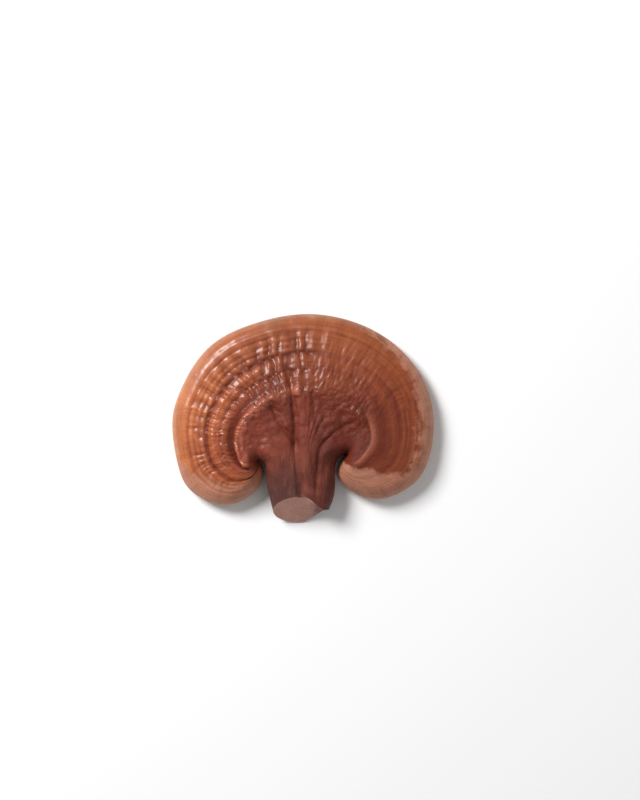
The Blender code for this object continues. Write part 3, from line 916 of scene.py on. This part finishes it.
def pore_material(clouds):
    """The pore face: tan, matt, with fine round pores that stop short of the margin and of the crown."""
    material, tree, shader = new_material("pore face")
    skin = Skin(tree)
    growth = skin.growth
    flat = add(tree, "ShaderNodeVectorMath", skin.place, (1, 1, 0), operation="MULTIPLY")
    places = flat, None, PORE_SPACING
    pores = add(tree, "ShaderNodeTexVoronoi", *places, out="Distance", voronoi_dimensions="2D")
    at_crown = (growth + mottle(tree, clouds, "crown edge").centred(span=0.18)).over(PORES_START)
    at_margin = (growth + mottle(tree, clouds, "margin edge").centred(span=0.02)).over(CRUST_TURNS_UNDER)
    depth = pores.over(PORE_RIM) * skin.zone("pored") * (1.0 - at_crown)
    tone = mix(tree, mottle(tree, clouds, "pore face"), *PORE_FACE)
    tone = mix(tree, skin.zone("smooth border"), tone, PORE_BORDER)
    tone = mix(tree, depth * 0.4, tone, IN_THE_PORES)
    margin = mix(tree, skin.zone("brown side"), OCHRE_MARGIN, BROWN_MARGIN)
    margin = mix(tree, skin.fact("newness").over(PALE_EDGE), margin, NEW_MARGIN)
    tone = mix(tree, at_margin, tone, margin)
    streaks = skin.lumps("crown streaks").over(CROWN_STREAKS)
    tone = mix(tree, at_crown, tone, mix(tree, streaks, *CROWN_UNDERSIDE))
    join(tree, tone, shader.inputs["Base Color"])
    shader.inputs["Roughness"].default_value = 0.85
    shader.inputs["Specular IOR Level"].default_value = 0.2
    join(tree, bump(tree, 1.0 - depth, PORE_DEPTH), shader.inputs["Normal"])
    return material


def flesh_material(clouds):
    """The cut: tan corky flesh with fine fibre ends, with painted shade darkening it towards the right."""
    material, tree, shader = new_material("corky flesh")
    skin, fibre_ends = Skin(tree), mottle(tree, clouds, "fibre ends")
    tone = mix(tree, mottle(tree, clouds, "flesh"), *FLESH)
    tone = mix(tree, fibre_ends * 0.4, tone, FIBRE_ENDS)
    # painted shade darkening the cut towards the right
    shade_share = (skin.along_x() + mottle(tree, clouds, "shade edge").centred(span=5.0)).over(SHADE_X)
    tone = mix(tree, shade_share * 0.85, tone, SHADED_FLESH)
    join(tree, tone, shader.inputs["Base Color"])
    shader.inputs["Roughness"].default_value = 0.8
    join(tree, bump(tree, fibre_ends, depth=0.3), shader.inputs["Normal"])
    return material


# Meshes

def whole_faces(cells):
    """The cells' corners without those that repeat the one before: at a pole, a triangle or nothing."""
    faces = ([corner for i, corner in enumerate(cell) if corner != cell[i - 1]] for cell in cells.tolist())
    return [face for face in faces if len(face) > 2]


class Body:
    """The whole skin welded into one closed mesh. Each of its faces is kept with its piece and side."""

    def __init__(self, sheets):
        points = np.concatenate([sheet.points.reshape(-1, 3) for sheet in sheets])
        welded = np.round(points, WELD_DECIMALS) + 0.0
        _, kept, number = np.unique(welded, axis=0, return_index=True, return_inverse=True)
        self.points = points[kept]
        self.facts = {
            name: np.concatenate([sheet.facts[name].ravel() for sheet in sheets])[kept]
            for name in sheets[0].facts
        }
        self.faces, self.sides, self.pieces, self.seams = [], [], [], {}
        number, start = number.ravel(), 0
        for sheet in sheets:
            size = sheet.points[..., 0].size
            at = number[start : start + size].reshape(sheet.points.shape[:2])
            start += size
            self.seams[sheet.piece, sheet.side] = at[0]
            faces_up = sheet.piece == "cap"
            if faces_up != (sheet.side == TOP) or sheet.side == CUT:
                at = at[::-1]
            cells = np.stack((at[:-1, :-1], at[:-1, 1:], at[1:, 1:], at[1:, :-1]), -1)
            faces = whole_faces(cells.reshape(-1, 4))
            self.faces += faces
            self.sides += [sheet.side] * len(faces)
            self.pieces += [sheet.piece] * len(faces)

    def wall(self, piece):
        """The faces that close a piece where it is parted from the other, across the crown."""
        above, below = self.seams[piece, TOP], self.seams[piece, UNDER]
        if piece == "cap":
            above, below = below, above
        return whole_faces(np.stack((above[:-1], above[1:], below[1:], below[:-1]), -1))


def point_values(mesh, name):
    """The values of a fact at all points of a mesh."""
    values = np.empty(len(mesh.vertices), np.float32)
    mesh.attributes[name].data.foreach_get("value", values)
    return values


def new_mesh(name, points, faces, facts):
    """A mesh whose points carry the facts."""
    mesh = bpy.data.meshes.new(name)
    mesh.from_pydata(points.tolist(), [], faces)
    for fact, values in facts.items():
        mesh.attributes.new(fact, "FLOAT", "POINT").data.foreach_set("value", values.astype(np.float32))
    mesh.shade_smooth()
    return mesh


def new_object(name, data):
    made = bpy.data.objects.new(name, data)
    bpy.context.scene.collection.objects.link(made)
    return made


def raised(body, crust):
    """The body's mesh with the growth relief on it."""
    smooth_body = new_object("body", new_mesh("body", body.points * MM, body.faces, body.facts))
    modifier = smooth_body.modifiers.new("growth relief", "NODES")
    modifier.node_group = relief_tree()
    for socket in modifier.node_group.interface.items_tree:
        if socket.name in RELIEF:
            modifier[socket.identifier] = RELIEF[socket.name]
        if socket.name == "Crust":
            modifier[socket.identifier] = crust
    graph = bpy.context.evaluated_depsgraph_get()
    mesh = bpy.data.meshes.new_from_object(smooth_body.evaluated_get(graph))
    bpy.data.objects.remove(smooth_body)
    return mesh


def corner_normals(mesh, sides):
    """The normals at the corners of all faces in turn, smooth all over but for the cut's rim."""
    touches = {}
    for polygon, side in zip(mesh.polygons, sides):
        for key in polygon.edge_keys:
            touches.setdefault(key, set()).add(side == CUT)
    sharp = [len(touches[edge.key]) == 2 for edge in mesh.edges]
    mesh.attributes.new("sharp_edge", "BOOLEAN", "EDGE").data.foreach_set("value", sharp)
    normals = np.empty(len(mesh.loops) * 3, np.float32)
    mesh.corner_normals.foreach_get("vector", normals)
    return normals.reshape(-1, 3)


def part_piece(name, body, mesh, normals, materials):
    """One node's share of the raised body, closed by its wall. materials is {side: its material}."""
    chosen = [i for i, piece in enumerate(body.pieces) if piece == name]
    wall = body.wall(name)
    faces = [body.faces[i] for i in chosen] + wall
    sides = [body.sides[i] for i in chosen] + [TOP] * len(wall)
    starts = np.cumsum([0] + [len(face) for face in body.faces])
    outwards = (0, -1, 0) if name == "cap" else (0, 1, 0)
    face_normals = [normals[starts[i] : starts[i + 1]] for i in chosen]
    face_normals += [np.tile(outwards, (len(face), 1)) for face in wall]

    used, corners = np.unique(np.concatenate(faces), return_inverse=True)
    ends = np.cumsum([len(face) for face in faces])[:-1]
    faces = [face.tolist() for face in np.split(corners, ends)]
    points = np.array([vertex.co for vertex in mesh.vertices])[used]
    facts = {fact: point_values(mesh, fact)[used] for fact in MATERIAL_FACTS}
    piece_mesh = new_mesh(name, points, faces, facts)
    shown = list(materials)
    for material in materials.values():
        piece_mesh.materials.append(material)
    piece_mesh.polygons.foreach_set("material_index", [shown.index(side) for side in sides])
    piece_mesh.normals_split_custom_set(np.concatenate(face_normals).tolist())
    return new_object(name + "_skin", piece_mesh)


def make_mushroom():
    """The raised body, parted into the pieces that stand for the cap and the stem."""
    clouds = mottle_group()
    crust, pores, flesh = crust_material(clouds), pore_material(clouds), flesh_material(clouds)
    body = Body(skin_sheets())
    mesh = raised(body, crust)
    normals = corner_normals(mesh, body.sides)
    sides = {"cap": {TOP: crust, UNDER: pores}, "stem": {TOP: crust, UNDER: crust, CUT: flesh}}
    for name, materials in sides.items():
        piece = part_piece(name, body, mesh, normals, materials)
        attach(piece, "root")
        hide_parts(name)


# Stage

def make_floor():
    half = FLOOR_SIZE / 2 * MM
    corners = np.array([(-half, -half, 0), (half, -half, 0), (half, half, 0), (-half, half, 0)])
    mesh = new_mesh("floor", corners, [(0, 1, 2, 3)], {})
    material, _, shader = new_material("white paper")
    shader.inputs["Base Color"].default_value = (*FLOOR_TONE, 1)
    shader.inputs["Roughness"].default_value = FLOOR_ROUGHNESS
    mesh.materials.append(material)
    new_object("floor", mesh)


def make_light(name, place, size, power):
    """A square softbox at a place in millimetres, turned to the mushroom."""
    light = bpy.data.lights.new(name, "AREA")
    light.size, light.energy = size * MM, power
    softbox = new_object(name, light)
    softbox.location = Vector(place) * MM
    softbox.rotation_euler = (-softbox.location).to_track_quat("-Z", "Y").to_euler()


def make_room():
    """A pale room with a softbox behind on the left and a large weak one in front on the right."""
    world = bpy.data.worlds.new("pale room")
    world.use_nodes = True
    sky = world.node_tree.nodes["Background"].inputs
    sky["Color"].default_value, sky["Strength"].default_value = (1, 1, 1, 1), ROOM_LIGHT
    bpy.context.scene.world = world
    bpy.context.scene.view_settings.view_transform = "Standard"
    for name, (place, size, power) in SOFTBOXES.items():
        make_light(name, place, size, power)


def make_camera():
    """The camera straight above, as far away as shows the photograph's scale at the viewed height."""
    camera = bpy.data.cameras.new("camera")
    camera.lens, camera.sensor_width = LENS, SENSOR
    shown = PHOTO_HEIGHT * MM_PER_PIXEL
    eye = new_object("camera", camera)
    eye.location = Vector((*PHOTO_MIDDLE, VIEWED_HEIGHT + shown * LENS / SENSOR)) * MM
    bpy.context.scene.camera = eye


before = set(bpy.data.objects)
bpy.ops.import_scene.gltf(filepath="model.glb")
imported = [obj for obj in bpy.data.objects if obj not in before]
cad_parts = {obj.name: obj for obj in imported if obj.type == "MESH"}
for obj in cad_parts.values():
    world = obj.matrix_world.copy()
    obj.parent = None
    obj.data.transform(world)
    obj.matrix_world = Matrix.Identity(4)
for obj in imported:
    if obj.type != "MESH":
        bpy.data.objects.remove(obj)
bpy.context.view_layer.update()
make_floor()
make_room()
make_camera()
make_mushroom()
